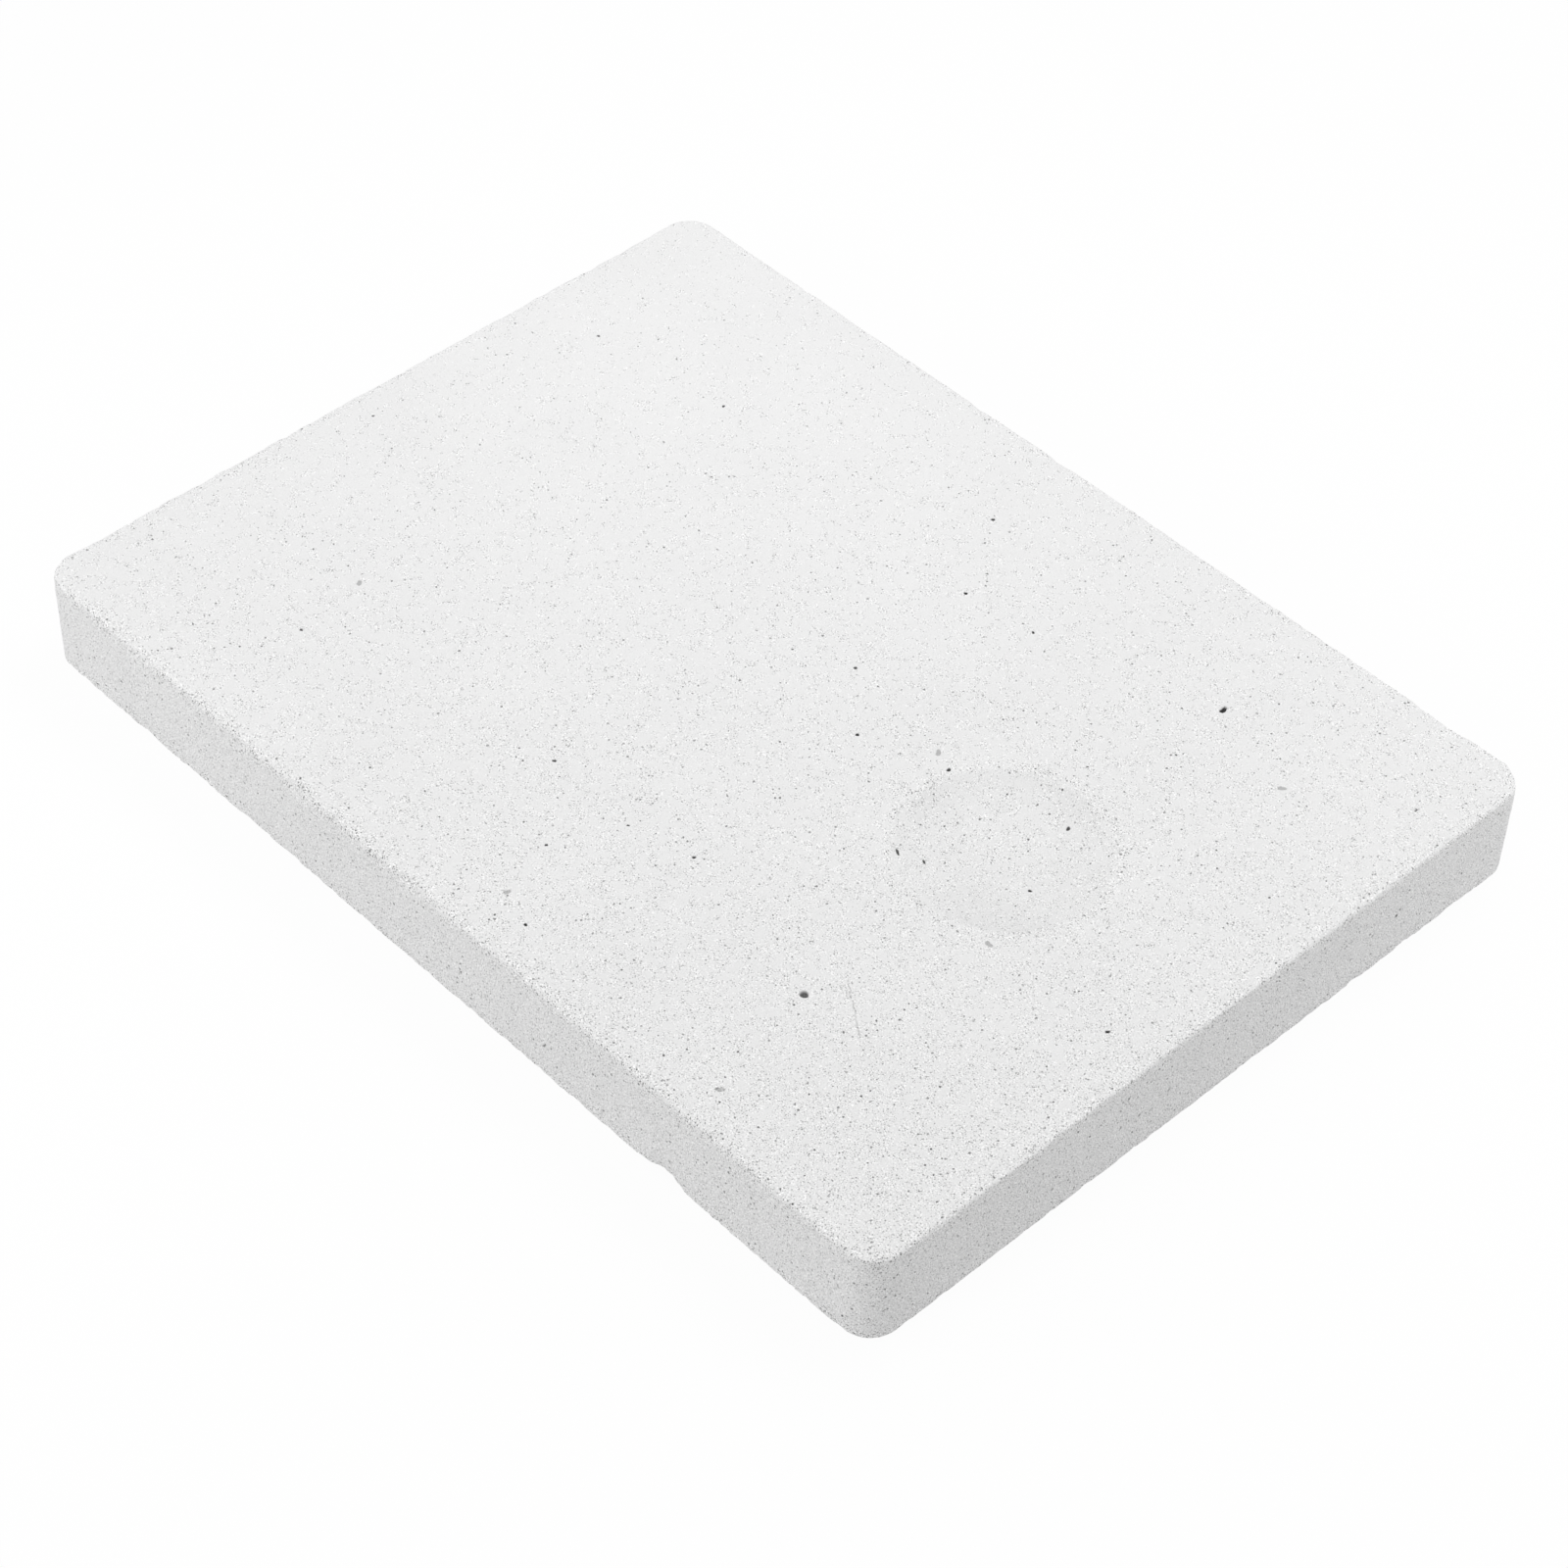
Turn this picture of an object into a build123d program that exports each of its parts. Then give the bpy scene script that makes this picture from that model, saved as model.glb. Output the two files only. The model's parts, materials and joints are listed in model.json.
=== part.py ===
"""A jeweller's soldering block: one moulded slab of white refractory with a shallow melting dish in its top.

The slab is stored lying flat, as it is used. The origin is the middle of its underside, +X runs along
its length towards the end with the dish, +Y across its width and +Z up. Sizes are in millimetres.
"""

import math
import os

from build123d import *

# Slab, with rounded corners in plan and a small round where each broad face meets the sides
LENGTH = 135.0
WIDTH = 100.0
THICKNESS = 12.3
CORNER_RADIUS = 4.0
EDGE_ROUND = 0.6

# Melting dish on the long centreline: a hollow floor, a low sloping wall and a soft rim
DISH_DIAMETER = 24.0
DISH_TO_END = 31.3
DISH_WALL_DEPTH = 1.2
DISH_WALL_SLOPE = 36.0
DISH_FLOOR_HOLLOW = 2.2
DISH_FOOT_ROUND = 3.0
DISH_RIM_ROUND = 0.5

# Places worked out from the sizes above
dish_x = LENGTH / 2 - DISH_TO_END
dish_rim = DISH_DIAMETER / 2
dish_foot = dish_rim - DISH_WALL_DEPTH / math.tan(math.radians(DISH_WALL_SLOPE))
dish_depth = DISH_WALL_DEPTH + DISH_FLOOR_HOLLOW
dish_plane = Plane(origin=(dish_x, 0, THICKNESS), x_dir=(1, 0, 0), z_dir=(0, -1, 0))

with BuildPart() as soldering_block:
    # The slab itself, moulded square-sided
    with BuildSketch():
        RectangleRounded(LENGTH, WIDTH, CORNER_RADIUS)
    extrude(amount=THICKNESS)
    edges_by_height = soldering_block.edges().group_by(Axis.Z)
    fillet(edges_by_height[0] + edges_by_height[-1], EDGE_ROUND)

    # Half of the dish's section, turned about the dish's upright axis
    with BuildSketch(dish_plane) as dish_section:
        with BuildLine():
            floor = TangentArc((0, -dish_depth), (dish_foot, -DISH_WALL_DEPTH), tangent=(1, 0))
            wall = Line(floor @ 1, (dish_rim, 0))
            Polyline(wall @ 1, (0, 0), floor @ 0)
        make_face()
        fillet(dish_section.vertices().sort_by_distance(floor @ 1)[0], DISH_FOOT_ROUND)
    revolve(axis=Axis(dish_plane.origin, (0, 0, 1)), mode=Mode.SUBTRACT)
    fillet(soldering_block.edges(Select.LAST).sort_by(Axis.Z)[-1], DISH_RIM_ROUND)

soldering_block.part.label = "soldering_block"

os.makedirs("parts", exist_ok=True)
export_step(soldering_block.part, "parts/soldering_block.step")
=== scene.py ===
# %% [markdown]
# # A soldering block of white refractory
#
# A jeweller rests work on a block like this while it is heated. It is one slab of porous white
# refractory, pressed in a mould and fired, with a shallow melting dish near one end. The packed
# solid gives its true size. This lesson gives it the crumbled edges, pits and pores of the real one.

import json
import math

import bpy
import numpy as np
from mathutils import Matrix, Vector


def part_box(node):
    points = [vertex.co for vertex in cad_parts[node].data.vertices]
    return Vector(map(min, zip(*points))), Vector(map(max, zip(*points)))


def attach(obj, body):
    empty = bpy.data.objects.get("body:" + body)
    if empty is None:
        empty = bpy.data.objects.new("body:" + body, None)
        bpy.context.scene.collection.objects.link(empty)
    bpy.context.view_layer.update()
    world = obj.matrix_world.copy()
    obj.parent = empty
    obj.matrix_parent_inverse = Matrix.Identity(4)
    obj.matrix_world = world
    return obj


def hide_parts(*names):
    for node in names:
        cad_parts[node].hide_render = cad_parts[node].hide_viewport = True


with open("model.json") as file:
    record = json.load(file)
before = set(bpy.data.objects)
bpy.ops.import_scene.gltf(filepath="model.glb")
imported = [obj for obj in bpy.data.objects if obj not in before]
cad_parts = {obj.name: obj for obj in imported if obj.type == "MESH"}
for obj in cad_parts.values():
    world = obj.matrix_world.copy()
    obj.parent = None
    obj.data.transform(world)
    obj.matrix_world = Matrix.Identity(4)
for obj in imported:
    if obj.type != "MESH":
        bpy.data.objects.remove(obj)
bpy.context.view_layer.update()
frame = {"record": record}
MM = 0.001
block_low, block_high = (np.array(corner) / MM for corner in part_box("soldering_block"))
length, width, thickness = block_high - block_low
dish_opening = np.array(frame["record"]["physics"]["openings"][0]["box_m"]) / MM
dish_middle = dish_opening.mean(axis=0)[:2]
print("block, mm:", length.round(2), width.round(2), thickness.round(2), "dish at", dish_middle.round(2))

# %% [markdown]
# ## Camera
#
# The block was seen from above one corner, with a long lens, so that its edges hardly converge. The
# view could be found by dragging the camera about. Here it is worked out from the aim point, two
# angles, the distance and a slight roll, so each of them can be changed by itself.

# %% The camera above the front corner
AIM = np.array([13.59, -10.79, thickness])
AZIMUTH, ELEVATION, ROLL = 45.146, 45.331, 2.045
DISTANCE = 427.7
LENS, SENSOR = 91.23, 36.0


def facing(azimuth, elevation):
    """The unit vector from the aim point to a viewer: azimuth 0 stands at -Y and 90 at +X."""
    a, e = math.radians(azimuth), math.radians(elevation)
    return np.array([math.cos(e) * math.sin(a), -math.cos(e) * math.cos(a), math.sin(e)])


def standing(place, back, roll=0.0):
    """A matrix that puts an object at a place in mm with its own Z along back, turned by roll about it.

    Its X is level before the roll, at right angles to back, and its Y is the cross product of the two.
    """
    level = np.cross([0.0, 0.0, 1.0], back)
    level = level / np.linalg.norm(level)
    r = math.radians(roll)
    right = math.cos(r) * level + math.sin(r) * np.cross(back, level)
    matrix = np.eye(4)
    matrix[:3, :4] = np.column_stack([right, np.cross(back, right), back, np.array(place) * MM])
    return Matrix(matrix.tolist())


view_back = facing(AZIMUTH, ELEVATION)
camera_data = bpy.data.cameras.new("camera")
camera_data.lens = LENS
camera_data.sensor_width = SENSOR
camera = bpy.data.objects.new("camera", camera_data)
camera.matrix_world = standing(AIM + DISTANCE * view_back, view_back, ROLL)
bpy.context.scene.collection.objects.link(camera)
bpy.context.scene.camera = camera
print("camera at, mm:", (AIM + DISTANCE * view_back).round(1))

# %% [markdown]
# ## Studio light
#
# White refractory shows its shape only by soft shading. A pale world lights it from all round, as a
# light tent would, with a large lamp behind it and one in front. Three small lamps close by make it a
# little brighter where they stand: over the far left corner, at the front left and at the right.
# All are round area lamps, whose shadows are soft. The camera sees the world as plain white, and so do
# reflections, while the block is lit by less than that.

# %% Five soft lamps
# For each: its place, the place it faces, its width in millimetres and its power in watts.
LAMPS = {
    "behind": ((0, 300, 520), (0, 0, 0), 320, 0.552),
    "in_front": ((0, -544, 254), (0, 0, 0), 320, 0.52),
    "over_far_left": ((-55, 40, 120), (-55, 41, 0), 80, 0.0138),
    "by_front_left": ((-120, -170, 70), (-40, -50, 6), 100, 0.0385),
    "by_right": ((170, 130, 70), (67, 20, 6), 100, 0.048),
}

for name, (place, target, lamp_width, watts) in LAMPS.items():
    lamp_data = bpy.data.lights.new(name, "AREA")
    lamp_data.shape = "DISK"
    lamp_data.size = lamp_width * MM
    lamp_data.energy = watts
    lamp = bpy.data.objects.new(name, lamp_data)
    back = np.subtract(place, target)
    lamp.matrix_world = standing(place, back / np.linalg.norm(back))
    lamp.visible_camera = False
    bpy.context.scene.collection.objects.link(lamp)
print("lamps:", len(LAMPS))

# %% Helpers for nodes


def add_node(tree, kind, values=None, links=None, **settings):
    """Adds one node, with its settings, its constant inputs and the sockets that are wired into it."""
    node = tree.nodes.new(kind)
    for name, value in settings.items():
        setattr(node, name, value)
    for key, value in (values or {}).items():
        node.inputs[key].default_value = value
    for key, socket in (links or {}).items():
        tree.links.new(socket, node.inputs[key])
    return node


def seen_directly(tree):
    """1 for rays from the camera, a reflection or a transmission, and 0 for rays that carry light."""
    path = add_node(tree, "ShaderNodeLightPath")
    glossy = add_node(tree, "ShaderNodeMath", operation="ADD",
                      links={0: path.outputs["Is Camera Ray"], 1: path.outputs["Is Glossy Ray"]})
    return add_node(tree, "ShaderNodeMath", operation="ADD", use_clamp=True,
                    links={0: glossy.outputs[0], 1: path.outputs["Is Transmission Ray"]}).outputs[0]


print("node helpers ready")

# %% The world that fills the shadows
WORLD_LIGHT = 0.67

world = bpy.data.worlds.new("pale_studio")
bpy.context.scene.world = world
world.use_nodes = True
world.node_tree.nodes.clear()
fill = add_node(world.node_tree, "ShaderNodeBackground",
                values={"Color": (1, 1, 1, 1), "Strength": WORLD_LIGHT})
white = add_node(world.node_tree, "ShaderNodeBackground", values={"Color": (1, 1, 1, 1), "Strength": 1.0})
either = add_node(world.node_tree, "ShaderNodeMixShader", links={
    0: seen_directly(world.node_tree), 1: fill.outputs[0], 2: white.outputs[0]})
add_node(world.node_tree, "ShaderNodeOutputWorld", links={"Surface": either.outputs[0]})
bpy.context.scene.view_settings.view_transform = "Standard"
print("world light:", WORLD_LIGHT)

# %% [markdown]
# ## Floor
#
# The block lies on a white sheet that runs off to a white background. A plain white floor would be
# grey wherever the lamps fade. So what the eye sees is mostly a steady white, with a share of true
# floor near the block that takes its soft shadow. To the block it is an evenly glowing sheet, as white
# paper in a light tent is, which lights its sides from below.

# %% A white floor with a soft shadow
FLOOR_REACH, FLOOR_GAP = 3000.0, 0.05
PAPER_GLOW = 0.5
SHADOW_SHARE, SHADOW_NEAR, SHADOW_FAR = 0.08, 150.0, 450.0

floor_mesh = bpy.data.meshes.new("floor")
corners = np.array([[-1, -1], [1, -1], [1, 1], [-1, 1]]) * FLOOR_REACH
floor_mesh.from_pydata(np.column_stack([corners, np.full(4, -FLOOR_GAP)]) * MM, [], [(0, 1, 2, 3)])
floor = bpy.data.objects.new("floor", floor_mesh)
bpy.context.scene.collection.objects.link(floor)

paper = bpy.data.materials.new("white_paper")
paper.use_nodes = True
tree = paper.node_tree
tree.nodes.clear()
away = add_node(tree, "ShaderNodeVectorMath", operation="LENGTH",
                links={0: add_node(tree, "ShaderNodeTexCoord").outputs["Object"]})
share = add_node(tree, "ShaderNodeMapRange", interpolation_type="SMOOTHSTEP",
                 values={"From Min": SHADOW_NEAR * MM, "From Max": SHADOW_FAR * MM,
                         "To Min": SHADOW_SHARE, "To Max": 0.0},
                 links={"Value": away.outputs["Value"]})
glow = add_node(tree, "ShaderNodeEmission", values={"Color": (1, 1, 1, 1), "Strength": PAPER_GLOW})
shadowed = add_node(tree, "ShaderNodeBsdfDiffuse", values={"Color": (1, 1, 1, 1)})
steady = add_node(tree, "ShaderNodeEmission", values={"Color": (1, 1, 1, 1), "Strength": 1.0})
shown = add_node(tree, "ShaderNodeMixShader", links={
    0: share.outputs[0], 1: steady.outputs[0], 2: shadowed.outputs[0]})
surface = add_node(tree, "ShaderNodeMixShader", links={
    0: seen_directly(tree), 1: glow.outputs[0], 2: shown.outputs[0]})
add_node(tree, "ShaderNodeOutputMaterial", links={"Surface": surface.outputs[0]})
floor_mesh.materials.append(paper)
print("floor reaches, mm:", FLOOR_REACH)

# %% [markdown]
# ## How the block's skin is laid out
#
# A box with bevelled edges would be quick, but its edges would be machine-straight and its dish would
# have to be cut with a boolean. Here the whole skin is one closed sheet, worked out as rings: the first
# rings run round the dish, they widen across the top until they follow the slab's outline, go over the
# edge and down the sides, and close up under the block. Rings near the edges have many points and rings
# in the middle few, and a ring may have twice or half as many points as the one before it.

# %% The outline, walked once round
CORNER_RADIUS = 4.0

runs = np.array([length, width, length, width]) - 2 * CORNER_RADIUS
leg_starts = np.concatenate([[0.0], np.cumsum(runs + CORNER_RADIUS * math.pi / 2)])
perimeter = leg_starts[-1]
corner_centres = np.array([[1, -1], [1, 1], [-1, 1], [-1, -1]]) * (
    np.array([length, width]) / 2 - CORNER_RADIUS)


def outline(distance):
    """Places on the slab's outline and the outward directions there, from the distance walked along it.

    The walk has four legs, each a straight run and the quarter circle after it, and starts at -Y with
    the run along +X. A place is the quarter circle's centre, plus one corner radius outward, less what
    is left of the run. Along the run the outward direction stays, and then it turns with the circle.
    """
    walked = np.asarray(distance) % perimeter
    leg = np.searchsorted(leg_starts, walked, side="right") - 1
    walked = walked - leg_starts[leg]
    start = leg * math.pi / 2
    turned = start + np.maximum(walked - runs[leg], 0) / CORNER_RADIUS
    outward = np.stack([np.sin(turned), -np.cos(turned)], axis=-1)
    heading = np.stack([np.cos(start), np.sin(start)], axis=-1)
    left = np.maximum(runs[leg] - walked, 0)[..., None]
    return corner_centres[leg] + CORNER_RADIUS * outward - left * heading, outward


print("outline, mm round:", perimeter.round(1))

# %% Smooth lumps for everything uneven
SPARE_CELLS = 2


def lumps(places, size, seed):
    """Smooth noise from -1 to 1 whose lumps are about size millimetres wide.

    Random heights stand on the corners of a cubic lattice. Within a cell they are blended along x, y
    and z by 3 f^2 - 2 f^3, where f is the share of the way across, so the noise has no creases.
    """
    spot = (places - block_low) / size + SPARE_CELLS
    cell = np.floor(spot).astype(int)
    share = spot - cell
    share = share * share * (3 - 2 * share)
    shape = np.ceil((block_high - block_low) / size).astype(int) + 3 * SPARE_CELLS
    heights = np.random.default_rng(seed).uniform(-1, 1, shape)
    total = 0
    for step in np.ndindex(2, 2, 2):
        weight = np.where(step, share, 1 - share).prod(axis=-1)
        total = total + weight * heights[tuple(np.moveaxis(cell + step, -1, 0))]
    return total


def with_height(plan, height):
    """Places in space from places in plan and one height or many."""
    return np.concatenate([plan, np.broadcast_to(height, plan.shape[:-1])[..., None]], axis=-1)


print("lumps at the dish:", lumps(with_height(dish_middle, thickness), 5.0, 1).round(3))

# %% [markdown]
# ## The skin as it grows
#
# Every stretch of the skin is added as whole arrays: places, how worn each is, how dark a pit makes it
# and how far it belongs to a side. Faces are then stitched between rings. Two rings of the same count
# get four-sided faces, a ring and one of twice its count get triangles, and a single point gets a fan.

# %% Places and faces collected


class Skin:
    """The block's mesh while it is made: places and their marks, and the faces between them."""

    def __init__(self):
        self.places, self.marks, self.quads, self.triangles = [], [], [], []
        self.count = 0

    def add(self, places, wear=0.0, pit=0.0, side=0.0):
        """Adds an array of places with their three marks, and gives an array of their numbers."""
        shape = places.shape[:-1]
        marks = np.stack([np.broadcast_to(mark, shape) for mark in (wear, pit, side)], axis=-1)
        self.places.append(places.reshape(-1, 3))
        self.marks.append(marks.reshape(-1, 3))
        first = self.count
        self.count += math.prod(shape)
        return np.arange(first, self.count).reshape(shape)

    def stitch(self, inner, outer):
        """Joins two rings of points, the inner one first, with faces that point outwards."""
        inner_next, outer_next = np.roll(inner, -1), np.roll(outer, -1)
        if len(inner) == len(outer):
            self.quads.append(np.stack([inner, outer, outer_next, inner_next], axis=-1))
        elif len(inner) == 1:
            self.triangles.append(np.stack([np.broadcast_to(inner, outer.shape), outer, outer_next], -1))
        elif len(outer) == 1:
            self.triangles.append(np.stack([inner, np.broadcast_to(outer, inner.shape), inner_next], -1))
        elif len(outer) == 2 * len(inner):
            even, odd, after = outer[::2], outer[1::2], outer_next[1::2]
            self.triangles += [np.stack(three, axis=-1) for three in (
                (inner, even, odd), (inner, odd, inner_next), (inner_next, odd, after))]
        else:
            even, odd, after = inner[::2], inner[1::2], inner_next[1::2]
            self.triangles += [np.stack(three, axis=-1) for three in (
                (even, outer, odd), (odd, outer, outer_next), (odd, outer_next, after))]

    def stitch_grid(self, grid, whole):
        """Joins the rings of a grid, row by row, leaving out the cells that are marked as not whole."""
        inner, outer = grid[:-1], grid[1:]
        cells = np.stack([inner, outer, np.roll(outer, -1, 1), np.roll(inner, -1, 1)], axis=-1)
        self.quads.append(cells[whole])


skin = Skin()
print("skin begun")

# %% [markdown]
# ## Dish and top
#
# The dish holds metal while it is melted: a low sloping wall round a hollow floor. Its section is the
# smaller of two depths, the wall's and the floor's, and a soft minimum rounds the foot between them.
# A soft maximum with nothing rounds the rim. The top itself is flat but not perfect, so it gets a
# ripple of a few hundredths of a millimetre, always downwards, so that the block never outgrows its size.

# %% The height of the top
DISH_RADIUS = 12.0
DISH_WALL_DEPTH, DISH_WALL_SLOPE, DISH_FLOOR_HOLLOW = 1.2, 36.0, 2.2
FOOT_SOFTNESS, RIM_SOFTNESS = 0.12, 0.04
# For each size of ripple: its width and height in millimetres and its seed.
RIPPLES = ((11.0, 0.03, 2), (3.2, 0.012, 3))


def dish_depth(radius):
    """How far the dish lies below the top: the soft minimum of a straight wall and a hollow floor.

    The wall falls from the rim at its slope. The floor is the wall's depth at its foot and deepens
    towards the middle as one less the square of the share of the way out.
    """
    slope = math.tan(math.radians(DISH_WALL_SLOPE))
    foot = DISH_RADIUS - DISH_WALL_DEPTH / slope
    wall = (DISH_RADIUS - radius) * slope
    floor_depth = DISH_WALL_DEPTH + DISH_FLOOR_HOLLOW * (1 - (radius / foot) ** 2)
    bowl = -FOOT_SOFTNESS * np.logaddexp(-wall / FOOT_SOFTNESS, -floor_depth / FOOT_SOFTNESS)
    return RIM_SOFTNESS * np.logaddexp(0, bowl / RIM_SOFTNESS)


def ripple(plan):
    """How far the top is out of flat: the sum of a few sizes of lumps, each from 0 to twice its height."""
    places = with_height(plan, thickness)
    return sum(height * (1 + lumps(places, size, seed)) for size, height, seed in RIPPLES)


def top_place(plan, depth=0.0):
    """A place on the top or in the dish, sunk by depth: the slab's height less ripple, dish and depth."""
    radius = np.linalg.norm(plan - dish_middle, axis=-1)
    return with_height(plan, thickness - ripple(plan) - dish_depth(radius) - depth)


print("dish depth, mm:", round(float(dish_depth(0.0)), 2))

# %% Rings from the dish to the edge
DISH_COLUMNS = 192
TOP_COLUMNS = 2 * DISH_COLUMNS
MARGIN = 2.4
FLOOR_RINGS = np.linspace(0.5, 9.5, 19)
WALL_RINGS = np.linspace(9.9, 13.1, 17)
# The power sets the first of these rings closer together, near the dish.
TOP_SHARES = np.linspace(0, 1, 62)[1:] ** 1.35
RIM_WEAR, RIM_WEAR_AT, RIM_WEAR_REACH = 0.5, 12.5, 0.7


def around(columns):
    """Evenly spaced distances along the outline."""
    return np.arange(columns) * perimeter / columns


def ways_out(columns):
    """For each column, the direction from the dish's middle to the edge's margin, and that place."""
    point, outward = outline(around(columns))
    border = point - MARGIN * outward
    away = border - dish_middle
    return away / np.linalg.norm(away, axis=-1, keepdims=True), border


floor_ways, _ = ways_out(DISH_COLUMNS)
floor_plan = dish_middle + FLOOR_RINGS[:, None, None] * floor_ways
top_ways, top_border = ways_out(TOP_COLUMNS)
wall_plan = dish_middle + WALL_RINGS[:, None, None] * top_ways
flat_plan = wall_plan[-1] + TOP_SHARES[:, None, None] * (top_border - wall_plan[-1])
top_plan = np.concatenate([wall_plan, flat_plan])
floor_grid = skin.add(top_place(floor_plan))
off_rim = np.linalg.norm(top_plan - dish_middle, axis=-1) - RIM_WEAR_AT
top_grid = skin.add(top_place(top_plan), wear=RIM_WEAR * np.exp(-(off_rim / RIM_WEAR_REACH) ** 2))
dish_bottom = skin.add(top_place(dish_middle[None]))
skin.stitch(dish_bottom, floor_grid[0])
skin.stitch(floor_grid[-1], top_grid[0])
print("rings:", len(floor_grid), "on the dish's floor,", len(top_grid), "from its wall to the edge")

# %% [markdown]
# ## Edges and sides
#
# A pressed edge of this stuff is weak: it rounds off, sheds grains and loses small chips. The edge is
# a profile carried round the outline. Its round is a parabola between the two faces, whose width
# wanders from place to place, and lumps of three sizes bite into it: grains, flakes and a few chips.
# The long front edge and the left corner are the most crumbled, and the back the least. What an edge
# loses is taken away along one slant, halfway between its two faces, so that no face is pushed through
# another.

# %% How worn the edge is along the outline
EDGE_COLUMNS = 4 * TOP_COLUMNS
CRUMBLE_AT = {"left corner": 0.9, "long front": 1.0, "front corner": 0.5, "dish end": 0.5,
              "right corner": 0.45, "long back": 0.4, "back corner": 0.4, "left end": 0.5}
ROUND_LEAST, ROUND_MORE, ROUND_MOST = 0.3, 0.6, 1.5
FOOT_LEAST, FOOT_MORE = 0.16, 0.06
# For each size of lump along an edge: its width in millimetres, its share of the round and its seed.
ROUND_WANDERS = ((5.0, 0.6, 11), (1.8, 0.5, 12))
FOOT_WANDERS = ((4.0, 1.0, 13), (1.5, 0.5, 14))


def wandering(line, wanders):
    """How an edge's round varies along its line: one plus a few sizes of lumps, each times its share."""
    return 1 + sum(share * lumps(line, size, seed) for size, share, seed in wanders)


edge_walk = around(EDGE_COLUMNS)
edge_point, edge_outward = outline(edge_walk)
half_legs = np.ravel(np.column_stack([leg_starts[:4], leg_starts[:4] + runs / 2]))
crumble = np.interp(edge_walk, half_legs, list(CRUMBLE_AT.values()), period=perimeter)
top_line = with_height(edge_point, thickness)
foot_line = with_height(edge_point, 0.0)
round_width = ROUND_LEAST + ROUND_MORE * crumble * wandering(top_line, ROUND_WANDERS)
round_width = np.clip(round_width, ROUND_LEAST, ROUND_MOST)
foot_width = FOOT_LEAST + FOOT_MORE * wandering(foot_line, FOOT_WANDERS)
print("top round, mm:", round_width.min().round(2), "to", round_width.max().round(2))

# %% The edge's profile, from the top's margin to the underside
ROUND_STEPS, FOOT_STEPS = np.linspace(0, 1, 10), np.linspace(0, 1, 6)
SIDE_TOP, SIDE_FOOT, SIDE_RINGS = thickness - 1.8, 1.4, 9
EDGE_INSET, UNDER_INSET = 1.65, 1.3


def parabola(step, size):
    """A rounded corner between two faces: size times (1 - step)^2 along one and step^2 along the other."""
    return size * (1 - step) ** 2, size * step ** 2


def turned_out(step):
    """How far the rounded corner faces outwards at a step: the square of the sine of its normal's lean."""
    return step ** 2 / (step ** 2 + (1 - step) ** 2)


all_round = np.ones(EDGE_COLUMNS)
round_inset, round_drop = parabola(ROUND_STEPS[:, None], round_width)
foot_rise, foot_inset = parabola(FOOT_STEPS[:, None], foot_width)
side_heights = np.linspace(SIDE_TOP, SIDE_FOOT, SIDE_RINGS)[:, None] * all_round
inset = np.vstack([EDGE_INSET * all_round, round_inset, 0 * side_heights, foot_inset,
                   UNDER_INSET * all_round])
height = np.vstack([thickness * all_round, thickness - round_drop, side_heights, foot_rise, 0 * all_round])
side_share = np.concatenate([[0], turned_out(ROUND_STEPS), np.ones(SIDE_RINGS),
                             1 - turned_out(FOOT_STEPS), [0]])[:, None] * all_round
print("profile rings:", len(inset))

# %% What has broken away
# For each kind of loss: the width of its lumps, how deep it goes, and the height of lump that starts it.
GRAIN, FLAKE, CHIP = (0.65, 0.18, 0.0), (1.6, 0.26, 0.15), (4.6, 0.6, 0.5)
FOOT_GRAIN, FOOT_FLAKE = (0.65, 0.12, 0.0), (2.6, 0.14, 0.25)
TOP_SEED, FOOT_SEED = 21, 25
# The sides are out of flat as the top is: for each size of wave, its width, its depth and its seed.
SIDE_WAVES = ((9.0, 0.025, 31), (1.4, 0.025, 32))
REACH_OF_WEAR = 1.1
# One larger loss in the lower front edge, which falls off faster after its deepest place than before it.
NOTCH_X, NOTCH_BEFORE, NOTCH_AFTER, NOTCH_DEPTH = 37.8, 2.4, 1.7, 0.62


def bitten(places, kind, seed):
    """How deep one kind of loss goes: its depth times how far the lumps of its size rise over its start."""
    size, depth, start = kind
    return depth * np.maximum(lumps(places, size, seed) - start, 0) / (1 - start)


def near(distance):
    """A bell that is 1 on the edge and fades over the reach of wear."""
    return np.exp(-(distance / REACH_OF_WEAR) ** 2)


edge_places = with_height(edge_point - inset[..., None] * edge_outward, height)
top_nearness = near(np.hypot(inset, thickness - height)) * crumble
foot_nearness = near(np.hypot(inset, height))
top_loss = sum(bitten(edge_places, kind, seed)
               for seed, kind in enumerate((GRAIN, FLAKE, CHIP), start=TOP_SEED))
foot_loss = sum(bitten(edge_places, kind, seed)
                for seed, kind in enumerate((FOOT_GRAIN, FOOT_FLAKE), start=FOOT_SEED))
notch_walk = NOTCH_X + length / 2 - CORNER_RADIUS
off_notch = edge_walk - notch_walk
notch = NOTCH_DEPTH * np.exp(-(off_notch / np.where(off_notch < 0, NOTCH_BEFORE, NOTCH_AFTER)) ** 2)
waves = sum(depth * (1 + lumps(edge_places, size, seed)) for size, depth, seed in SIDE_WAVES)
top_bite = top_nearness * top_loss
foot_bite = foot_nearness * (foot_loss + notch)
print("deepest loss, mm:", top_bite.max().round(2), "above and", foot_bite.max().round(2), "below")

# %% The edge's rings
UPPER_STEP = 2.0
FOOT_WEAR = 0.6

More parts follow.
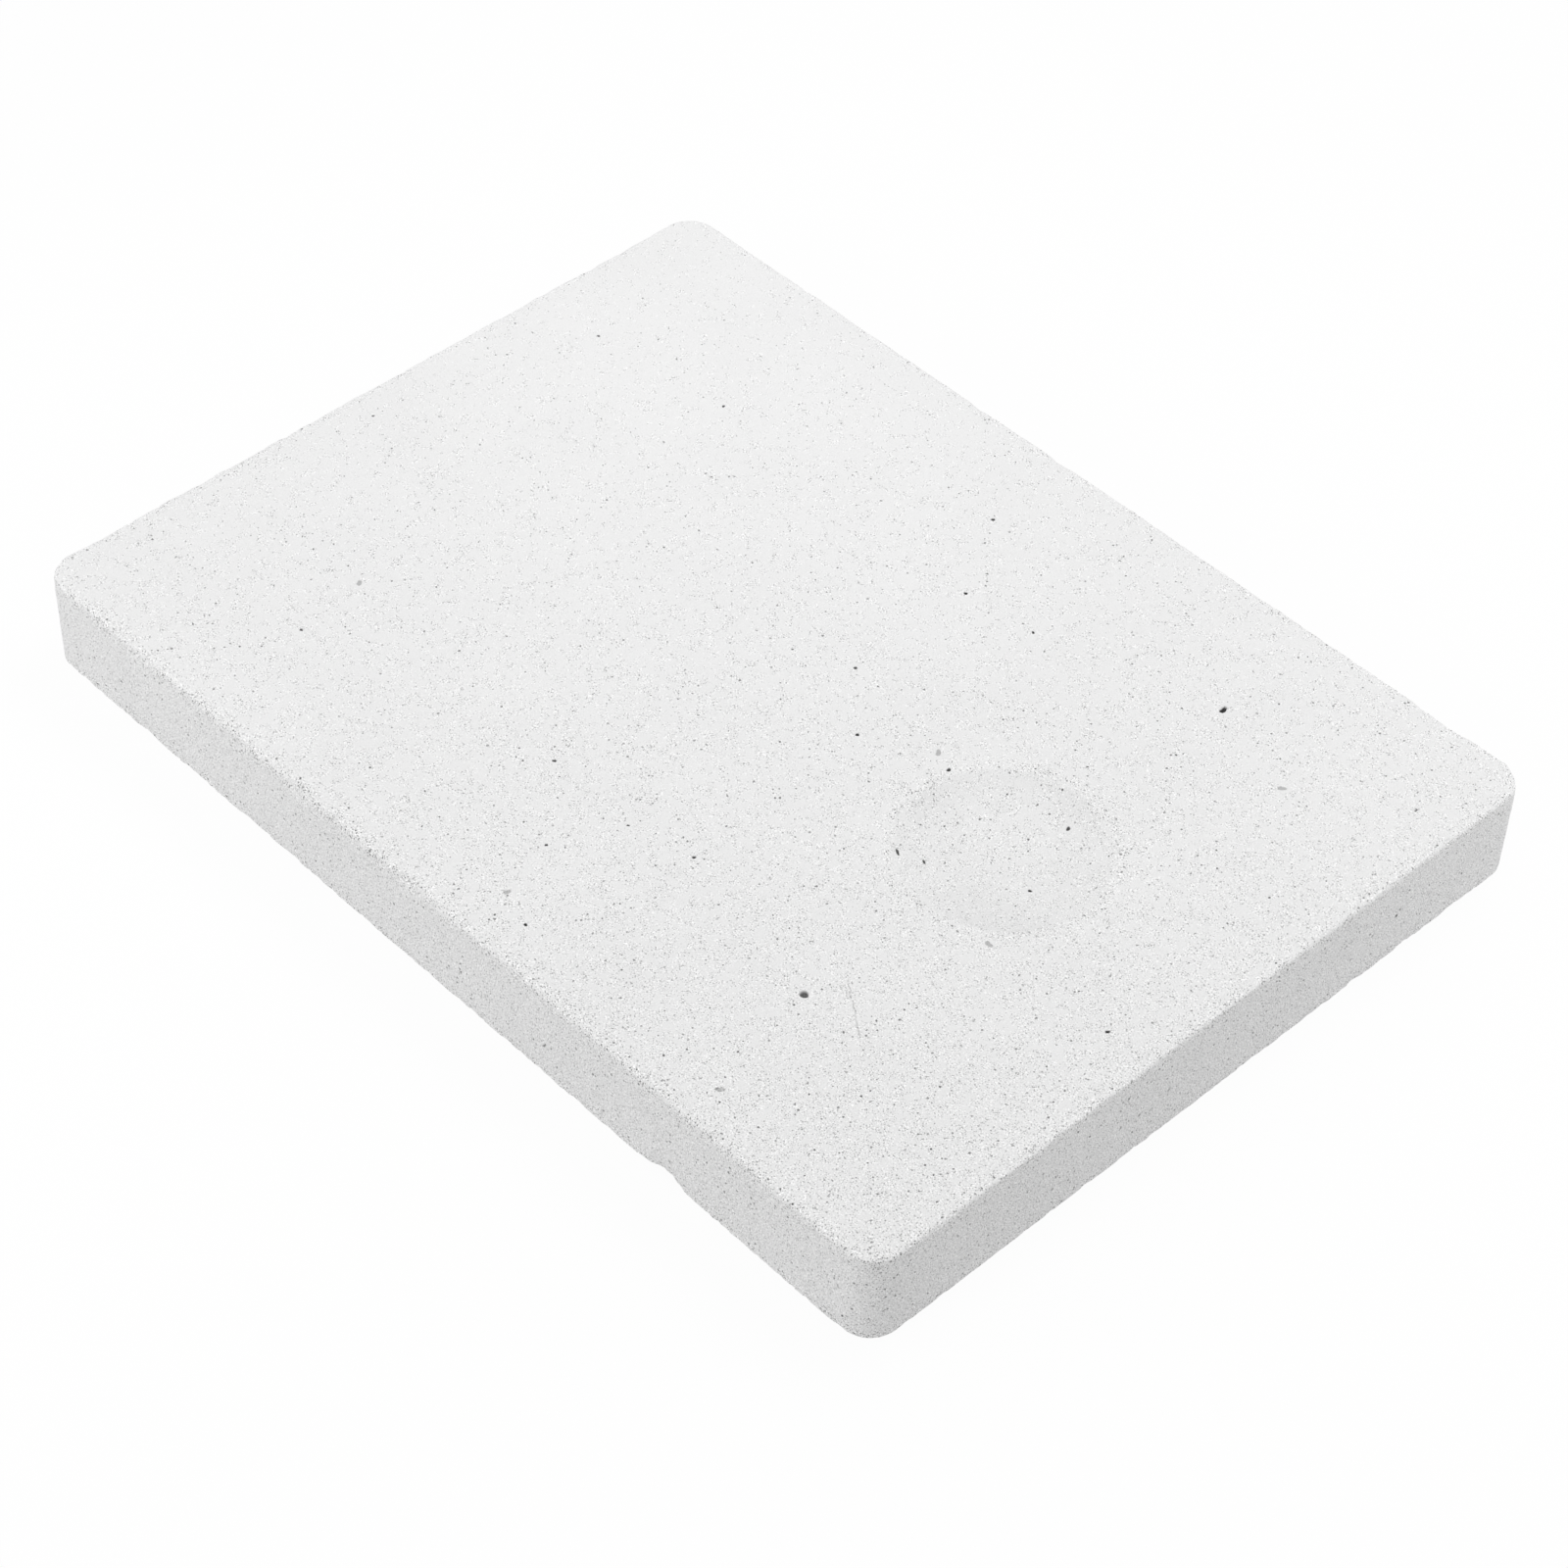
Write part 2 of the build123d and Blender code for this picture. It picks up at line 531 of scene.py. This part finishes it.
slanting = math.sqrt(0.5)
drawn_in = inset + slanting * (top_bite + foot_bite) + side_share * waves
edge_plan = edge_point - drawn_in[..., None] * edge_outward
edge_height = height + slanting * (foot_bite - top_bite) - ripple(edge_plan) * height / thickness
edge_skin = with_height(edge_plan, edge_height)
edge_grid = skin.add(edge_skin, wear=top_nearness + FOOT_WEAR * foot_nearness, side=side_share)
upper_point, upper_outward = outline(around(EDGE_COLUMNS // 2))
upper_ring = skin.add(top_place(upper_point - UPPER_STEP * upper_outward))
skin.stitch(top_grid[-1], upper_ring)
skin.stitch(upper_ring, edge_grid[0])
print("edge points:", edge_grid.size)

# %% Under the block
UNDER_INSETS = (1.8, 2.6, 3.6)
UNDER_SHARES = np.linspace(1, 0, 16)[1:-1]

ring = edge_grid[-1]
for ring_inset in UNDER_INSETS:
    point, outward = outline(around(len(ring) // 2))
    under_plan = point - ring_inset * outward
    next_ring = skin.add(with_height(under_plan, 0.0))
    skin.stitch(ring, next_ring)
    ring = next_ring
under_grid = skin.add(with_height(UNDER_SHARES[:, None, None] * under_plan, 0.0))
skin.stitch(ring, under_grid[0])
skin.stitch_grid(under_grid, np.ones((len(under_grid) - 1, under_grid.shape[1]), bool))
skin.stitch(under_grid[-1], skin.add(np.zeros((1, 3))))
print("underside points:", under_grid.size)

# %% [markdown]
# ## Pits
#
# Gas left small holes in the face: one neat round pit by the dish, a dark chip across from it, two
# slits, some shallow smudges and many pinholes. A boolean for each would be slow and leave slivers.
# Here the cells around a pit are left out of the sheet, and a small bowl is set into the gap: its
# spokes run from the gap's border to the pit's middle, and its rings follow the pit's own slightly
# uneven outline.

# %% A gap in a sheet


def cut_gap(sheet, whole, middle, room):
    """Marks a sheet's cells round a place as not whole, and gives the gap's border as rows and columns.

    The gap is as many steps of the sheet wide as the room needs, more by how far the place is from the
    sheet's nearest point. Its border is walked once round.
    """
    off = np.linalg.norm(sheet - middle, axis=-1)
    row, column = np.unravel_index(off.argmin(), off.shape)
    row = min(max(row, 1), len(sheet) - 2)
    room = room + off.min()
    row_step = np.linalg.norm(sheet[row + 1, column] - sheet[row - 1, column]) / 2
    next_column = (column + 1) % sheet.shape[1]
    column_step = np.linalg.norm(sheet[row, next_column] - sheet[row, column])
    rows, columns = max(1, math.ceil(room / row_step)), max(1, math.ceil(room / column_step))
    i = row + np.arange(-rows, rows + 1)
    j = (column + np.arange(-columns, columns + 1)) % sheet.shape[1]
    cells = np.ix_(i[:-1], j[:-1])
    assert 0 <= i[0] and i[-1] < len(sheet) and whole[cells].all(), f"no room for the pit at {middle}"
    whole[cells] = False
    walk_i = np.concatenate([i, np.full(len(j) - 1, i[-1]), i[-2::-1], np.full(len(j) - 2, i[0])])
    walk_j = np.concatenate([np.full(len(i), j[0]), j[1:], np.full(len(i) - 1, j[-1]), j[-2:0:-1]])
    return walk_i, walk_j


print("sheets to cut, rows and columns:", floor_grid.shape, top_grid.shape)

# %% A bowl set into a sheet
BOWL_RINGS = np.array([1.3, 1.08, 0.96, 0.82, 0.56, 0.28])
BOWL_LIP, BOWL_DARK_FROM = 1.08, 0.82
BOWL_ROOM, BOWL_POWER = 1.45, 0.6
WAVE_TURN, THIRD_WAVE = 1.0, 0.7


def bowl_reach(angle, radius, stretch, turn, uneven):
    """A pit's outline: an ellipse stretched along turn, with two and three waves round it."""
    a = angle - turn
    ellipse = radius / np.sqrt((np.cos(a) / stretch) ** 2 + np.sin(a) ** 2)
    return ellipse * (1 + uneven * np.cos(2 * a + WAVE_TURN) + THIRD_WAVE * uneven * np.cos(3 * a))


def set_pit(grid, sheet, whole, place_of, pit, **marks):
    """Cuts a gap into a grid round a pit and sets the pit's bowl into it.

    sheet holds the grid's places in the sheet's own two directions, and place_of turns such places and
    a depth into space. Depth goes as a power of 1 - share^2, of the share of the way from middle to lip.
    """
    middle, radius, depth, stretch, turn, uneven, dark = pit
    border = cut_gap(sheet, whole, middle, BOWL_ROOM * radius * stretch)
    spokes = sheet[border] - middle
    angle = np.arctan2(spokes[:, 1], spokes[:, 0])
    reach = BOWL_RINGS[:, None] * bowl_reach(angle, radius, stretch, turn, uneven)
    spots = middle + reach[..., None] * np.stack([np.cos(angle), np.sin(angle)], axis=-1)
    sunk = np.maximum(1 - (BOWL_RINGS / BOWL_LIP) ** 2, 0)[:, None] ** BOWL_POWER
    shade = np.interp(BOWL_RINGS, [BOWL_DARK_FROM, BOWL_LIP], [dark, 0])[:, None] * np.ones_like(reach)
    rings = skin.add(place_of(spots, depth * sunk), pit=shade, **marks)
    skin.stitch(rings[0], grid[border])
    for outer, inner in zip(rings[:-1], rings[1:]):
        skin.stitch(inner, outer)
    bottom = skin.add(place_of(middle[None], depth), pit=dark, **marks)
    skin.stitch(bottom, rings[-1])


print("rings in a bowl:", len(BOWL_RINGS))

# %% Where the pits of the top are
# A pit is its middle, its radius and depth in millimetres, its stretch, the way it is stretched, how
# uneven its outline is and how dark it is. A slit's place comes with its own radius and way.
ROUND_PIT = ((36.9, -30.0), 0.50, 0.55, 1.0, 0.0, 0.03, 0.76)
DARK_CHIP = ((37.6, 33.1), 0.34, 0.40, 1.7, 1.9, 0.16, 0.93)
SLITS = (((28.6, -8.4), 0.19, -0.5), ((30.6, -6.3), 0.14, -0.37))
SLIT_DEPTH, SLIT_STRETCH, SLIT_UNEVEN, SLIT_DARK = 0.20, 2.4, 0.1, 0.85
SMUDGES = ((21.3, 5.0), (-41.7, -24.5), (5.7, -43.2), (50.0, 28.8), (44.7, -11.0), (40.5, -45.0))
SMUDGE_RADIUS, SMUDGE_DEPTH, SMUDGE_STRETCH, SMUDGE_UNEVEN, SMUDGE_DARK = 0.32, 0.08, 1.5, 0.2, 0.4
PINHOLES = ((14.9, 26.4), (5.3, 25.4), (-1.5, 36.7), (5.7, 7.6), (13.4, 0.4), (-40.0, -34.2), (-5.6, -26.8),
            (7.0, -27.4), (15.1, -25.3), (3.3, -35.7), (10.5, -44.8), (-56.8, 24.9), (-37.1, 27.2),
            (23.9, 4.0), (40.5, -0.2), (37.6, 8.6), (61.3, -10.6))
PINHOLE_DEPTH, PINHOLE_UNEVEN = 0.2, 0.1
PINHOLE_RADII, PINHOLE_STRETCHES, PINHOLE_DARKS = (0.19, 0.26), (1, 1.3), (0.85, 0.95)
ANY_WAY = (0, 3)

chance = np.random.default_rng(5)
pits = [ROUND_PIT, DARK_CHIP]
pits += [(place, radius, SLIT_DEPTH, SLIT_STRETCH, way, SLIT_UNEVEN, SLIT_DARK)
         for place, radius, way in SLITS]
pits += [(place, SMUDGE_RADIUS, SMUDGE_DEPTH, SMUDGE_STRETCH, chance.uniform(*ANY_WAY), SMUDGE_UNEVEN,
          SMUDGE_DARK) for place in SMUDGES]
pits += [(place, chance.uniform(*PINHOLE_RADII), PINHOLE_DEPTH, chance.uniform(*PINHOLE_STRETCHES),
          chance.uniform(*ANY_WAY), PINHOLE_UNEVEN, chance.uniform(*PINHOLE_DARKS)) for place in PINHOLES]
floor_whole = np.ones((len(floor_grid) - 1, DISH_COLUMNS), bool)
top_whole = np.ones((len(top_grid) - 1, TOP_COLUMNS), bool)
for place, *shape in pits:
    middle = np.array(place)
    in_floor = np.linalg.norm(middle - dish_middle) < FLOOR_RINGS[-1]
    part = (floor_grid, floor_plan, floor_whole) if in_floor else (top_grid, top_plan, top_whole)
    set_pit(*part, top_place, (middle, *shape))
skin.stitch_grid(floor_grid, floor_whole)
skin.stitch_grid(top_grid, top_whole)
print("pits on the top:", len(pits))

# %% [markdown]
# ## Slits in the sides
#
# The sides have a few slits where the pressed stuff did not close up. They are set in the same way,
# in a sheet whose two directions are the distance along the outline and the height.

# %% Slits in the long side and the end
FRONT_SLITS = ((5.8, 4.8), (19.1, 4.4))
END_SLITS = ((-13.6, 9.4), (-7.2, 5.8))
# Radius, depth, stretch, the way it is stretched, unevenness and darkness, as for a pit of the top.
SIDE_SLIT = (0.16, 0.25, 2.2, 0.9, 0.1, 0.6)

side_first = 1 + len(ROUND_STEPS)
side_rows = slice(side_first, side_first + SIDE_RINGS)
side_grid = edge_grid[side_rows]
side_sheet = np.stack([np.broadcast_to(edge_walk, side_grid.shape), height[side_rows]], axis=-1)
edge_whole = np.ones((len(edge_grid) - 1, EDGE_COLUMNS), bool)


def side_place(sheet, depth=0.0):
    """A place on a side from its distance along the outline and its height, sunk by depth."""
    point, outward = outline(sheet[..., 0])
    places = with_height(point, sheet[..., 1])
    wave = sum(deep * (1 + lumps(places, size, seed)) for size, deep, seed in SIDE_WAVES)
    plan = point - (depth + wave)[..., None] * outward
    return with_height(plan, sheet[..., 1] - ripple(plan) * sheet[..., 1] / thickness)


slits = [(x + length / 2 - CORNER_RADIUS, z) for x, z in FRONT_SLITS]
slits += [(leg_starts[1] + y + width / 2 - CORNER_RADIUS, z) for y, z in END_SLITS]
for middle in np.array(slits):
    set_pit(side_grid, side_sheet, edge_whole[side_first:side_first + SIDE_RINGS - 1], side_place,
            (middle, *SIDE_SLIT), side=1.0)
skin.stitch_grid(edge_grid, edge_whole)
print("slits in the sides:", len(slits))

# %% [markdown]
# ## The mesh
#
# The points inside the gaps belong to no face, so they are dropped before the mesh is made. The three
# marks go along as attributes of the mesh, which the finish reads: how worn the edge is, how dark a
# pit is and how far a place belongs to a side.

# %% From arrays to one closed piece
places, marks = np.vstack(skin.places), np.vstack(skin.marks)
quads = np.vstack([quad.reshape(-1, 4) for quad in skin.quads])
triangles = np.vstack(skin.triangles)
used, renumbered = np.unique(np.concatenate([quads.ravel(), triangles.ravel()]), return_inverse=True)
faces = renumbered[:quads.size].reshape(-1, 4).tolist() + renumbered[quads.size:].reshape(-1, 3).tolist()

block_mesh = bpy.data.meshes.new("refractory_slab")
block_mesh.from_pydata(places[used] * MM, [], faces)
block_mesh.polygons.foreach_set("use_smooth", np.ones(len(faces), bool))
for number, name in enumerate(("edge_wear", "pit_shade", "side_share")):
    attribute = block_mesh.attributes.new(name, "FLOAT", "POINT")
    attribute.data.foreach_set("value", marks[used, number].astype(np.float32))
block = bpy.data.objects.new("refractory_slab", block_mesh)
bpy.context.scene.collection.objects.link(block)
print("points:", len(used), "triangles:", 2 * len(quads) + len(triangles))

# %% [markdown]
# ## Refractory
#
# The stuff is fired white clay and fibre, pressed in a mould and never glazed: dead matt, neutral
# white, and rough all over. Up close it has a fine grain, hollows with lit crests between them, and
# pores that show as grey specks. Both crowd together in drifts and leave bare patches between. A picture
# of it would stretch on the sides, so the grain is noise in space, and a pore is where the face cuts a
# small ball round a random point. Noise is built on a lattice, whose planes would show as bands on a flat
# face, so its coordinates are first turned out of line with the block.

# %% Colour and coordinates in millimetres
WHITE = "#F1F1F1"
ROUGHNESS, SHEEN_LEVEL = 0.95, 0.2
OUT_OF_LINE = (0.5, 0.3, 0.8)


def linear(code):
    """Linear red, green, blue and alpha from an sRGB hex code."""
    srgb = np.array([int(code[i:i + 2], 16) for i in (1, 3, 5)]) / 255
    return (*np.where(srgb <= 0.04045, srgb / 12.92, ((srgb + 0.055) / 1.055) ** 2.4), 1.0)


refractory = bpy.data.materials.new("white_refractory")
refractory.use_nodes = True
tree = refractory.node_tree
tree.nodes.clear()
here = add_node(tree, "ShaderNodeTexCoord").outputs["Object"]
in_mm = add_node(tree, "ShaderNodeVectorMath", operation="SCALE", values={"Scale": 1 / MM}, links={0: here})
in_mm = in_mm.outputs["Vector"]
turned = add_node(tree, "ShaderNodeMapping", values={"Rotation": OUT_OF_LINE},
                  links={"Vector": in_mm}).outputs["Vector"]
wear = add_node(tree, "ShaderNodeAttribute", attribute_name="edge_wear").outputs["Fac"]
pit_shade = add_node(tree, "ShaderNodeAttribute", attribute_name="pit_shade").outputs["Fac"]
side = add_node(tree, "ShaderNodeAttribute", attribute_name="side_share").outputs["Fac"]
print("white, linear:", linear(WHITE)[0].round(3))

# %% Drifts of specks and bare patches
DRIFT_SIZE, DRIFT_BARE, DRIFT_FULL, LEAST_CROWDING = 1.1, 0.39, 0.61, 0.14
# Specks are more crowded towards the front corner, on the sides and where an edge is worn.
FACE_SPAN, FRONT_MORE, SIDE_MORE, WORN_MORE = 200.0, 0.2, 0.14, 0.9

drift = add_node(tree, "ShaderNodeTexNoise", values={"Scale": 1 / DRIFT_SIZE, "Detail": 2.0},
                 links={"Vector": turned})
toward_front = add_node(tree, "ShaderNodeVectorMath", operation="DOT_PRODUCT",
                        values={1: (1 / FACE_SPAN, -1 / FACE_SPAN, 0.0)}, links={0: in_mm})
more_at_front = add_node(tree, "ShaderNodeMath", operation="MULTIPLY_ADD", values={1: FRONT_MORE},
                         links={0: toward_front.outputs["Value"], 2: drift.outputs["Fac"]})
more_at_sides = add_node(tree, "ShaderNodeMath", operation="MULTIPLY_ADD", values={1: SIDE_MORE},
                         links={0: side, 2: more_at_front.outputs[0]})
patches = add_node(tree, "ShaderNodeMapRange", interpolation_type="SMOOTHSTEP",
                   values={"From Min": DRIFT_BARE, "From Max": DRIFT_FULL, "To Min": LEAST_CROWDING},
                   links={"Value": more_at_sides.outputs[0]})
crowding = add_node(tree, "ShaderNodeMath", operation="MULTIPLY_ADD", values={1: WORN_MORE},
                    links={0: wear, 2: patches.outputs[0]}).outputs[0]
print("drifts, mm:", DRIFT_SIZE)

# %% Fine grain: hollows and lit crests
# Real grain is finer than the picture can show, so it is drawn about as coarse as the picture's points.
GRAIN_SIZE, GRAIN_CONTRAST = 0.15, 1.1
MIDDLE_TONE, BRIGHTEST_AT, BRIGHTEST = 0.5, 0.8, 0.95
GRAIN_TONES = ((0.2, 0.0), (0.385, MIDDLE_TONE), (0.605, MIDDLE_TONE))

grain = add_node(tree, "ShaderNodeTexNoise", values={"Scale": 1 / GRAIN_SIZE, "Detail": 0.0},
                 links={"Vector": turned})
crests = add_node(tree, "ShaderNodeValToRGB", links={"Fac": grain.outputs["Fac"]})
for stop, tone in GRAIN_TONES:
    crests.color_ramp.elements.new(stop).color = (tone, tone, tone, 1)
crests.color_ramp.elements[-1].position = BRIGHTEST_AT
crests.color_ramp.elements[-1].color = (BRIGHTEST, BRIGHTEST, BRIGHTEST, 1)
from_middle = add_node(tree, "ShaderNodeMath", operation="SUBTRACT", values={1: MIDDLE_TONE},
                       links={0: crests.outputs["Color"]})
contrast = add_node(tree, "ShaderNodeMath", operation="MULTIPLY", values={1: GRAIN_CONTRAST},
                    links={0: from_middle.outputs[0]})
shade = add_node(tree, "ShaderNodeMath", operation="MULTIPLY",
                 links={0: contrast.outputs[0], 1: crowding}).outputs[0]
print("grain, mm:", GRAIN_SIZE)

# %% Pores and pinholes
# For each kind: its spacing and largest radius in millimetres, the share of points that have one, and
# how dark the darkest is.
PORES = {"pores": (0.56, 0.19, 0.8, 0.8), "pinholes": (3.0, 0.3, 0.35, 0.9)}
LEAST_SIZE, LEAST_DARK, PORE_FLOOR, NO_PORE = 0.4, 0.4, 0.55, 0.001

size_here = add_node(tree, "ShaderNodeMapRange", values={"To Min": LEAST_SIZE}, links={"Value": crowding})
for spacing, largest, share_with, darkest in PORES.values():
    field = add_node(tree, "ShaderNodeTexVoronoi", values={"Scale": 1 / spacing}, links={"Vector": turned})
    lot = add_node(tree, "ShaderNodeSeparateColor", links={"Color": field.outputs["Color"]})
    radius = add_node(tree, "ShaderNodeMapRange",
                      values={"From Min": 1 - share_with, "To Min": NO_PORE, "To Max": largest / spacing},
                      links={"Value": lot.outputs[0]})
    drawn = add_node(tree, "ShaderNodeMath", operation="MULTIPLY", links={
        0: radius.outputs[0], 1: size_here.outputs[0]})
    out_from = add_node(tree, "ShaderNodeMath", operation="DIVIDE",
                        links={0: field.outputs["Distance"], 1: drawn.outputs[0]})
    hollow = add_node(tree, "ShaderNodeMapRange", interpolation_type="SMOOTHSTEP",
                      values={"From Min": 1.0, "From Max": PORE_FLOOR}, links={"Value": out_from.outputs[0]})
    depth = add_node(tree, "ShaderNodeMapRange", links={"Value": lot.outputs[1]},
                     values={"To Min": -LEAST_DARK * darkest, "To Max": -darkest})
    shade = add_node(tree, "ShaderNodeMath", operation="MULTIPLY_ADD",
                     links={0: hollow.outputs[0], 1: depth.outputs[0], 2: shade}).outputs[0]
print("sizes of pore:", len(PORES))

# %% [markdown]
# ## A hairline crack
#
# A crack no wider than a hair runs for a few millimetres near the round pit. A cut in the mesh would
# need very small faces, so it is drawn: it is where the distance to a slightly wavering line is small.
# Height counts for little in that distance, so the top's ripple doesn't hide the crack, and the
# underside still has none.

# %% The crack
CRACK_START, CRACK_END = np.array([38.5, -25.3]), np.array([44.8, -29.7])
CRACK_WIDTH, CRACK_DARK, CRACK_HEIGHT_SHARE = 0.11, 0.32, 0.05
CRACK_WAVER, WAVERS_PER_MM = 0.5, 1.2

crack_length = np.linalg.norm(CRACK_END - CRACK_START)
crack_way = (CRACK_END - CRACK_START) / crack_length
waver = add_node(tree, "ShaderNodeTexNoise", values={"Scale": WAVERS_PER_MM, "Detail": 1.0},
                 links={"Vector": in_mm})
moved = add_node(tree, "ShaderNodeVectorMath", operation="MULTIPLY_ADD",
                 values={1: (CRACK_WAVER, CRACK_WAVER, 0.0)},
                 links={0: waver.outputs["Color"], 2: in_mm})
from_start = add_node(tree, "ShaderNodeVectorMath", operation="SUBTRACT",
                      values={1: (*(CRACK_START + CRACK_WAVER / 2), thickness)},
                      links={0: moved.outputs["Vector"]})
flattened = add_node(tree, "ShaderNodeVectorMath", operation="MULTIPLY",
                     values={1: (1.0, 1.0, CRACK_HEIGHT_SHARE)}, links={0: from_start.outputs["Vector"]})
along = add_node(tree, "ShaderNodeVectorMath", operation="DOT_PRODUCT",
                 values={1: (*crack_way, 0.0)}, links={0: flattened.outputs["Vector"]})
kept = add_node(tree, "ShaderNodeClamp", values={"Max": crack_length},
                links={"Value": along.outputs["Value"]})
foot = add_node(tree, "ShaderNodeVectorMath", operation="SCALE",
                values={0: (*crack_way, 0.0)}, links={"Scale": kept.outputs[0]})
beside = add_node(tree, "ShaderNodeVectorMath", operation="DISTANCE",
                  links={0: flattened.outputs["Vector"], 1: foot.outputs["Vector"]})
crack = add_node(tree, "ShaderNodeMapRange", interpolation_type="SMOOTHSTEP",
                 values={"From Min": CRACK_WIDTH, "From Max": 0.0, "To Max": CRACK_DARK},
                 links={"Value": beside.outputs["Value"]}).outputs[0]
print("crack, mm long:", crack_length.round(1))

# %% [markdown]
# ## Painted shade in the dish
#
# The dish is drawn a little greyer than the face round it. Along its wall, and more in soft patches on
# the wall at its back and its left, this is painted shade, where shade falls in the dish. Its floor is
# a trace darker too, and two broad patches darken its front half. All this could be painted on as a
# picture, but the mesh would first have to be unwrapped. Here each is a smooth step of a distance, the
# wall's from the middle of the dish's mouth and a patch's from its own middle, and all of them end at
# the rim.

# %% Painted shade in the dish
# The floor's slight darkening, the painted shade along the wall, the radii of the step between them, and
# where all of it fades out at the rim.
FLOOR_DARKENING, WALL_SHADE, WALL_SHADE_FROM, WALL_SHADE_FULL = 0.004, 0.014, 7.0, 10.4
DISH_SHADE_END, DISH_SHADE_FADE = 12.1, 0.6
# For each patch: its middle from the dish's middle, how far it reaches and how dark it is at its middle.
# The first two darken the floor's front half; the last three are painted shade on the wall at its back and
# its left.
PATCHES = (((4.6, -6.6), 8.5, 0.037), ((0.0, -6.2), 5.0, 0.024), ((5.6, 4.2), 7.5, 0.02),
           ((1.0, 11.8), 5.0, 0.042), ((-11.8, -0.5), 5.0, 0.042))


def from_place(plan):
    """The distance from a place in the plane of the top, in millimetres."""
    return add_node(tree, "ShaderNodeVectorMath", operation="DISTANCE", values={1: (*plan, thickness)},
                    links={0: in_mm}).outputs["Value"]


def smooth_step(value, begin, full, low, high):
    """A step from low to high, with no corners, while the value goes from begin to full."""
    return add_node(tree, "ShaderNodeMapRange", interpolation_type="SMOOTHSTEP", links={"Value": value},
                    values={"From Min": begin, "From Max": full, "To Min": low, "To Max": high}).outputs[0]


# Painted shade along the wall and at the rim, with the floor's darker patches, kept inside the rim.
from_mouth = from_place(dish_middle)
greyed = smooth_step(from_mouth, WALL_SHADE_FROM, WALL_SHADE_FULL, FLOOR_DARKENING, WALL_SHADE)
for off_axis, reach, strength in PATCHES:
    patch = smooth_step(from_place(dish_middle + off_axis), reach, 0.0, 0.0, strength)
    greyed = add_node(tree, "ShaderNodeMath", operation="ADD", links={0: greyed, 1: patch}).outputs[0]
in_dish = smooth_step(from_mouth, DISH_SHADE_END, DISH_SHADE_END - DISH_SHADE_FADE, 0.0, 1.0)
painted_dish_shade = add_node(tree, "ShaderNodeMath", operation="MULTIPLY", links={0: greyed, 1: in_dish}).outputs[0]
print("patches of stain:", len(PATCHES))

# %% [markdown]
# ## The finish put together
#
# The grain, the crack, the painted shade in the dish and the pits' shade are added up to one tone, with
# a faint mottle as fired clay has. The bump makes the grain real hollows for the light. The shader is
# rough all over, with hardly any sheen, because the stuff is never glazed.

# %% One tone, a bump and a matt shader
MOTTLE_SIZE, MOTTLE_DEPTH = 14.0, 0.02
BUMP_DEPTH, BUMP_SHARE = 0.12, 0.55

mottle = add_node(tree, "ShaderNodeTexNoise", values={"Scale": 1 / MOTTLE_SIZE, "Detail": 2.0},
                  links={"Vector": in_mm})
uneven = add_node(tree, "ShaderNodeMapRange", values={"To Min": 1 - MOTTLE_DEPTH, "To Max": 1 + MOTTLE_DEPTH},
                  links={"Value": mottle.outputs["Fac"]})
lit = add_node(tree, "ShaderNodeMath", operation="ADD", links={0: shade, 1: uneven.outputs[0]})
cracked = add_node(tree, "ShaderNodeMath", operation="SUBTRACT", links={0: lit.outputs[0], 1: crack})
# Painted shade in the dish is taken off the tone here.
with_dish_shade = add_node(tree, "ShaderNodeMath", operation="SUBTRACT", links={0: cracked.outputs[0], 1: painted_dish_shade})
clear_of_pits = add_node(tree, "ShaderNodeMath", operation="SUBTRACT", values={0: 1.0}, links={1: pit_shade})
tone = add_node(tree, "ShaderNodeMath", operation="MULTIPLY",
                links={0: with_dish_shade.outputs[0], 1: clear_of_pits.outputs[0]})
colour = add_node(tree, "ShaderNodeVectorMath", operation="SCALE",
                  values={0: linear(WHITE)[:3]}, links={"Scale": tone.outputs[0]})
strength = add_node(tree, "ShaderNodeMath", operation="MULTIPLY", use_clamp=True, values={1: BUMP_SHARE},
                    links={0: crowding})
bump = add_node(tree, "ShaderNodeBump", values={"Distance": BUMP_DEPTH * MM},
                links={"Height": crests.outputs["Color"], "Strength": strength.outputs[0]})
shader = add_node(tree, "ShaderNodeBsdfPrincipled",
                  values={"Roughness": ROUGHNESS, "Specular IOR Level": SHEEN_LEVEL},
                  links={"Base Color": colour.outputs["Vector"], "Normal": bump.outputs["Normal"]})
add_node(tree, "ShaderNodeOutputMaterial", links={"Surface": shader.outputs[0]})
block_mesh.materials.append(refractory)
print("nodes in the finish:", len(tree.nodes))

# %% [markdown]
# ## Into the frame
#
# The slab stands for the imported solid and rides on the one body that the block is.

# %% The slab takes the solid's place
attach(block, "root")
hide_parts("soldering_block")
